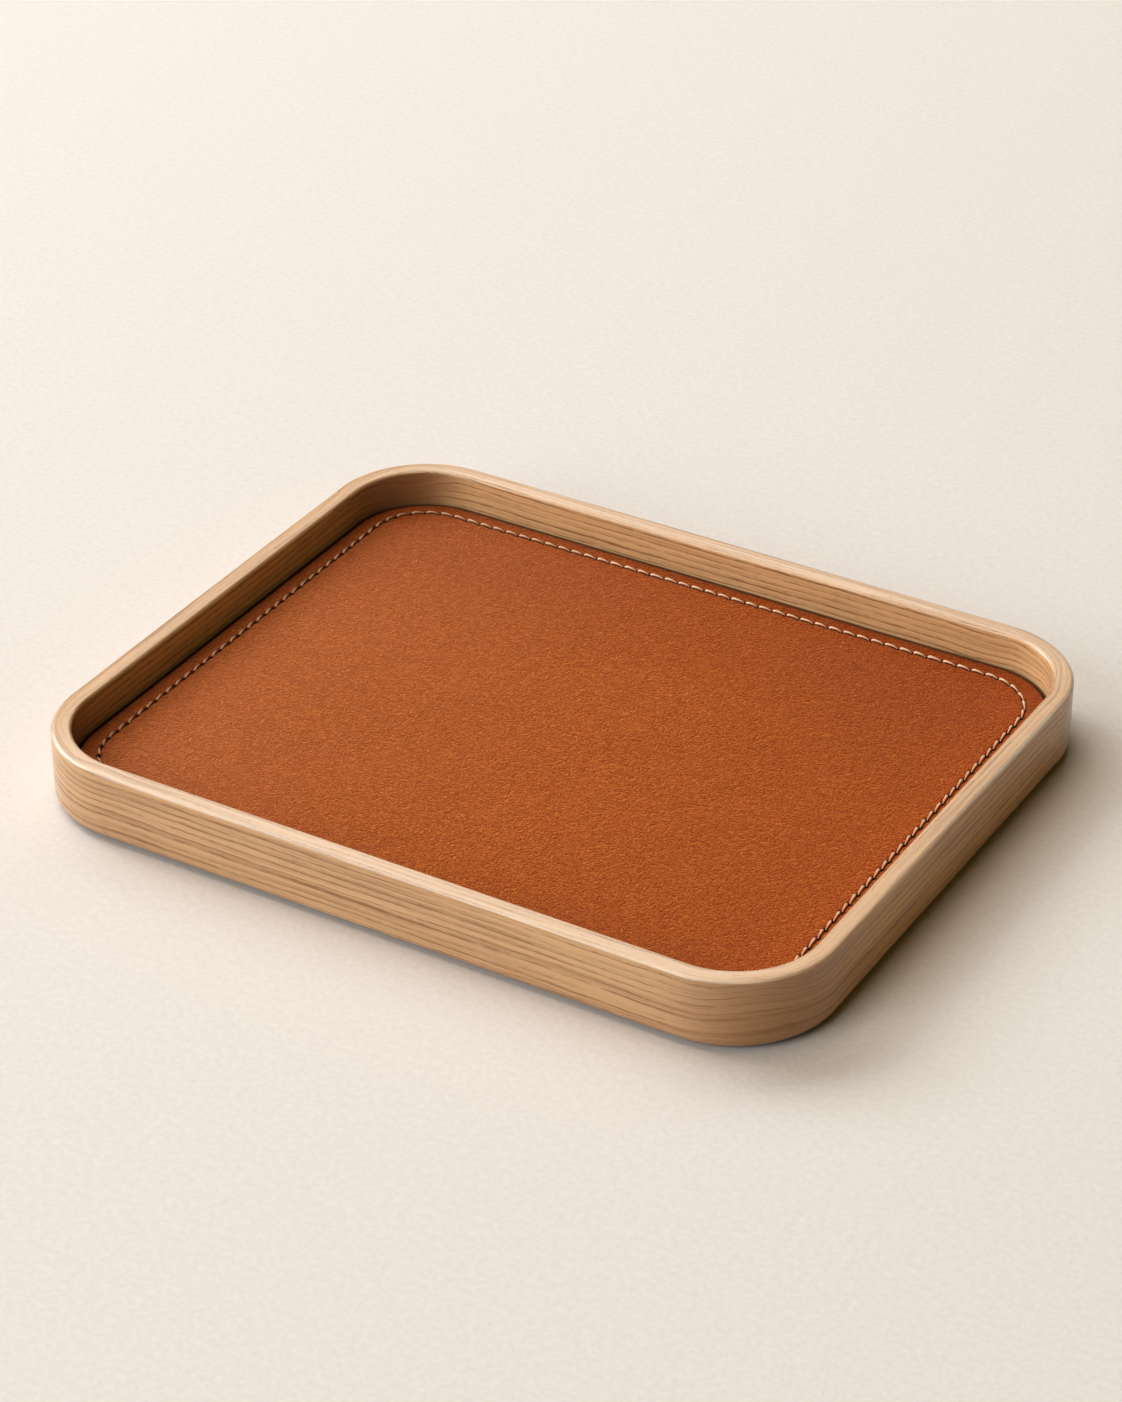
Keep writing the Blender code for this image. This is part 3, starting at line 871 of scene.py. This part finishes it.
def fill_middle(shape, edge, count):
    """Coarser rings from the innermost ring, one point a stitch, to a line along the tray's middle."""
    group = len(edge) // count
    ridge = PAD_X - PAD_Y
    rings = []
    for share in MIDDLE_SHARES:
        ring = []
        for k in range(count):
            co = edge[k * group].co
            target = max(-ridge, min(ridge, co.x))
            x = co.x + (target - co.x) * share
            y = co.y + (SEAM_SHIFT[1] - co.y) * share
            ring.append(shape.verts.new((x, y, LEATHER_TOP + leather_wave(x, y))))
        rings.append(ring)
    for k in range(count):
        span = [edge[(k * group + step) % len(edge)] for step in range(group + 1)]
        shape.faces.new(span + [rings[0][(k + 1) % count], rings[0][k]])
    for lower, higher in zip(rings, rings[1:]):
        bridge(shape, lower, higher)
    bmesh.ops.remove_doubles(shape, verts=rings[-1], dist=MIDDLE_JOIN)


def make_leather(holes, material):
    """The leather: rounded at its edge, drawn down along the seam, with a hole at each stitch end."""
    shape = bmesh.new()
    shape.verts.layers.float.new("burnish_and_shade")
    columns = leather_columns(holes)
    edge_top = leather_height(0.0, 0.0, LEATHER_INSET + LEATHER_ROUND, 0.0, FAR_FROM_HOLES, 0.0)
    rings = [leather_ring(shape, columns, LEATHER_INSET, LEATHER_LOW.z)]
    for k in range(LEATHER_ROUND_STEPS + 1):
        angle = math.pi / 2 * k / LEATHER_ROUND_STEPS
        inset = LEATHER_INSET + LEATHER_ROUND * (1 - math.cos(angle))
        rings.append(leather_ring(shape, columns, inset, edge_top - LEATHER_ROUND * (1 - math.sin(angle))))
    offsets = [-step for step in OUTWARD_STEPS] + list(INWARD_STEPS)
    rings += [leather_ring(shape, columns, SEAM_INSET + step * MM) for step in offsets]
    for lower, higher in zip(rings, rings[1:]):
        bridge(shape, lower, higher)
    shape.faces.new(rings[0][::-1])
    fill_middle(shape, rings[-1], len(holes))
    return add_mesh("pad_leather", shape, [material])


def seam_lean(travel):
    """How far the stitches lean outwards along their run: most on the short sides."""
    _, _, in_x, in_y = SEAM.at(travel)
    return -(LEAN_LONG * in_y ** 2 + (LEAN_SHORT + LEAN_LEFT * in_x) * in_x ** 2)


def stitch_spine(start, end, level, side, lift, slant):
    """The middle line of a stitch: places, each with its thickness and its share of the way."""
    spine = []
    for step in range(STITCH_SECTIONS):
        share = step / (STITCH_SECTIONS - 1)
        x, y, in_x, in_y = SEAM.at(start + STITCH_START + (end - start - STITCH_START - STITCH_END) * share)
        aside = slant * (share - 0.5)
        if share < CREST_SHARE:
            arch = 0.4 + 0.6 * math.sin(math.pi / 2 * share / CREST_SHARE)
        else:
            arch = math.cos(math.pi / 2 * (share - CREST_SHARE) / (1 - CREST_SHARE)) ** 0.8
        height = level + side * (lift * arch - STITCH_DIP * (1 - arch) ** 2)
        thickness = (1.0 - STITCH_TAPER * share) * (0.75 + 0.25 * min(1.0, share / SWELL_SHARE))
        place = np.array((x + SEAM_SHIFT[0] + in_x * aside, y + SEAM_SHIFT[1] + in_y * aside, height))
        spine.append((place, thickness, share))
    return spine


def add_strand(shape, spine, radius, phase, start):
    """The skin of one stitch: twisted plies carried along its middle line."""
    grain = shape.loops.layers.uv["grain"]
    groove = shape.verts.layers.float["groove"]
    rows = []
    for step, (place, thickness, share) in enumerate(spine):
        ahead = spine[min(len(spine) - 1, step + 1)][0] - spine[max(0, step - 1)][0]
        ahead /= np.linalg.norm(ahead)
        across = np.cross(ahead, (0.0, 0.0, 1.0))
        across /= np.linalg.norm(across)
        up = np.cross(across, ahead)
        row = []
        for s in range(STITCH_SIDES):
            angle = 2 * math.pi * s / STITCH_SIDES
            lobe = math.cos(STITCH_PLIES * (angle - phase - STITCH_TWIST * share / 2))
            reach = radius * thickness * (1.0 + 0.05 * lobe)
            out = across * math.cos(angle) + up * (math.sin(angle) * STITCH_FLATNESS)
            vert = shape.verts.new(place + out * reach)
            # Painted shade between the plies and towards the end where the stitch sinks into its hole.
            vert[groove] = 0.8 * max(0.0, -lobe) + 1.1 * share ** 2
            row.append(vert)
        rows.append(row)
    for i in range(len(rows) - 1):
        for s in range(STITCH_SIDES):
            t = (s + 1) % STITCH_SIDES
            face = shape.faces.new((rows[i][s], rows[i][t], rows[i + 1][t], rows[i + 1][s]))
            for loop, (a, b) in zip(face.loops, ((i, s), (i, s + 1), (i + 1, s + 1), (i + 1, s))):
                along = a / len(rows)
                around = b / STITCH_SIDES * LAY_ROUND + along * LAY_ALONG
                loop[grain].uv = (start + along * STITCH_PITCH, around)
    shape.faces.new(rows[0][::-1])
    shape.faces.new(rows[-1])


def make_stitches(name, holes, rng, level, side, rise, material):
    """A row of short slanted strands, one from each hole to the next."""
    shape = bmesh.new()
    shape.loops.layers.uv.new("grain")
    shape.verts.layers.float.new("groove")
    for start, end in stitch_spans(holes):
        slant = STITCH_SLANT * seam_lean((start + end) / 2) * rng.uniform(*SLANT_RANGE)
        lift = rise * rng.uniform(*LIFT_RANGE)
        phase = rng.uniform(0.0, 2 * math.pi)
        radius = STITCH_RADIUS * rng.uniform(*THICKNESS_RANGE)
        add_strand(shape, stitch_spine(start, end, level, side, lift, slant), radius, phase, start)
    return add_mesh(name, shape, [material])


def make_layer(name, corner, low, high, edge, material):
    """A flat layer of the pad with softly rounded edges, from its far corner and its heights."""
    radius = PAD_RADIUS - (PAD_X - corner.x)
    outline = Loop(corner.x, corner.y, radius)
    shape = bmesh.new()
    rings = []
    for inset, height in ((edge, low), (0.0, low + edge), (0.0, high - edge), (edge, high)):
        loop = Loop(corner.x - inset, corner.y - inset, radius - inset)
        ring = []
        for k in range(LAYER_STEPS):
            x, y, _, _ = loop.at(outline.travel_on(loop, outline.length * k / LAYER_STEPS))
            ring.append(shape.verts.new((x, y, height)))
        rings.append(ring)
    for lower, higher in zip(rings, rings[1:]):
        bridge(shape, lower, higher)
    shape.faces.new(rings[0][::-1])
    shape.faces.new(rings[-1])
    return add_mesh(name, shape, [material])


def make_pad():
    """The pad's leather, stitching, board and suede."""
    rng = random.Random(11)
    holes = stitch_holes(rng)
    tan = leather(
        "tan_leather", base=(0.265, 0.024, 0.001), deep=(0.16, 0.011, 0.001), pale=(0.70, 0.207, 0.036),
        ruddy=(0.28, 0.022, 0.001), sheen_tint=(0.56, 0.23, 0.11),
    )
    linen = thread("waxed_linen", light=(0.97, 0.67, 0.46), dark=(0.40, 0.175, 0.075))
    pressed = fibreboard("pressed_board")
    napped = suede("brown_suede", light=(0.27, 0.135, 0.07), dark=(0.12, 0.055, 0.028))
    top = make_leather(holes, tan)
    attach(top, "pad")
    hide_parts("leather_top")
    rows = (
        ("pad_stitching", UPPER_LEVEL, 1.0, UPPER_RISE),
        ("pad_stitching_under", UNDER_LEVEL, -1.0, UNDER_RISE),
    )
    for name, level, side, rise in rows:
        stitches = make_stitches(name, holes, rng, level, side, rise, linen)
        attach(stitches, "pad")
        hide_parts("stitch_thread")
    board = make_layer("pad_fibreboard", BOARD_HIGH, BACKING_HIGH.z, LEATHER_LOW.z, BOARD_ROUND, pressed)
    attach(board, "pad")
    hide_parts("pad_board")
    backing = make_layer("pad_suede", BACKING_HIGH, BACKING_LOW.z, BACKING_HIGH.z, SUEDE_ROUND, napped)
    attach(backing, "pad")
    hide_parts("pad_backing")


def paint_nodes():
    """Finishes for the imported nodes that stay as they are."""
    beech = plain_wood(
        "beech", light=(0.62, 0.40, 0.24), dark=(0.46, 0.27, 0.15), along=420.0, across=60.0, rough=0.55,
    )
    birch = plain_wood(
        "birch_plywood", light=(0.72, 0.52, 0.33), dark=(0.56, 0.37, 0.21), along=22.0, across=420.0,
        rough=0.58,
    )
    grains = cork("pressed_cork")
    for node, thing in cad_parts.items():
        if node.startswith("tenon"):
            finish = beech
        elif node.startswith("foot"):
            finish = grains
        elif node == "base_panel":
            finish = birch
        else:
            continue
        thing.data.materials.clear()
        thing.data.materials.append(finish)


def aim_at(thing, target):
    """Point an object's -Z at a place."""
    x, y, z = (there - here for there, here in zip(target, thing.location))
    thing.rotation_euler = (math.atan2(math.hypot(x, y), -z), 0.0, math.atan2(-x, y))


def add_lamp(name, turn, rise, reach, side, power, colour):
    """A square soft light aimed at the tray, from a turn off -X towards -Y and a rise above the floor."""
    data = bpy.data.lights.new(name, "AREA")
    data.shape = "SQUARE"
    data.size = side
    data.energy = power
    data.color = colour
    lamp = bpy.data.objects.new(name, data)
    bpy.context.scene.collection.objects.link(lamp)
    turn, rise = math.radians(turn), math.radians(rise)
    flat = reach * math.cos(rise)
    lamp.location = (-flat * math.cos(turn), -flat * math.sin(turn), reach * math.sin(rise))
    aim_at(lamp, (0.0, 0.0, 0.0))


def make_stage():
    """A pale floor, soft lamps and a faint warm fill that turns from the right to the left."""
    bpy.ops.mesh.primitive_plane_add(size=FLOOR_SIZE)
    floor = bpy.context.object
    floor.name = "floor"
    floor.data.materials.append(floor_material())

    world = bpy.data.worlds.new("studio")
    bpy.context.scene.world = world
    world.use_nodes = True
    tree = world.node_tree
    way = tree.nodes.new("ShaderNodeTexCoord")
    lean = tree.nodes.new("ShaderNodeVectorMath")
    lean.operation = "DOT_PRODUCT"
    lean.inputs[1].default_value = (-0.5, 0.0, 0.0)
    place = tree.nodes.new("ShaderNodeMath")
    place.inputs[1].default_value = 0.5
    band = tree.nodes.new("ShaderNodeValToRGB")
    band.color_ramp.elements[0].color = FILL_RIGHT
    band.color_ramp.elements[1].color = FILL_LEFT
    tree.links.new(way.outputs["Generated"], lean.inputs[0])
    tree.links.new(lean.outputs["Value"], place.inputs[0])
    tree.links.new(place.outputs[0], band.inputs["Fac"])
    tree.links.new(band.outputs["Color"], tree.nodes["Background"].inputs["Color"])

    for lamp in LAMPS:
        add_lamp(*lamp)


def make_camera():
    """The camera at the photograph's place."""
    data = bpy.data.cameras.new("camera")
    data.sensor_width = SENSOR
    data.lens = CAMERA_LENS
    data.clip_start, data.clip_end = CAMERA_CLIP
    camera = bpy.data.objects.new("camera", data)
    bpy.context.scene.collection.objects.link(camera)
    camera.location = CAMERA_PLACE
    camera.rotation_euler = (math.pi / 2 - CAMERA_TILT, 0.0, CAMERA_TURN)
    bpy.context.scene.camera = camera


def main():
    """Dress the tray."""
    bpy.context.scene.view_settings.view_transform = "Standard"
    make_camera()
    # The right outer face's browner, darker copy of the oak is painted shade, as are its browner right-hand
    # corners.
    outer = oak(
        "oak_outside", pitch=2.7 * MM, line=1.50, pore_scale=240.0, tone=1.95,
        colours=((0.665, 0.395, 0.192), (0.290, 0.117, 0.036)),
        turned="lee", turned_colours=((0.640, 0.335, 0.085), (0.26, 0.085, 0.012)),
        corner_shade=CORNER_SHADE_RIGHT,
    )
    # The left inner face's olive copy of the oak is painted light on a face in shade; its browner left-hand
    # corners and the foot of the wall are painted shade.
    inner = oak(
        "oak_inside", pitch=2.7 * MM, line=1.95, pore_scale=240.0, tone=1.30,
        colours=((0.85, 0.535, 0.265), (0.300, 0.135, 0.048)),
        turned="shaded", turned_colours=((0.66, 0.56, 0.31), (0.20, 0.130, 0.052)),
        corner_shade=CORNER_SHADE_LEFT, foot_shade=0.85,
    )
    # The short sides' tops are darker than the long ones, partly their own tone and partly the long tops'
    # painted sheen.
    top = oak(
        "oak_top", pitch=2.1 * MM, line=1.05, pore_scale=300.0, tone=2.1,
        colours=((0.745, 0.510, 0.342), (0.35, 0.182, 0.090)),
        turned="turned", turned_colours=((0.63, 0.375, 0.190), (0.28, 0.125, 0.048)),
    )
    make_rails([outer, top, inner])
    make_pad()
    paint_nodes()
    make_stage()


main()
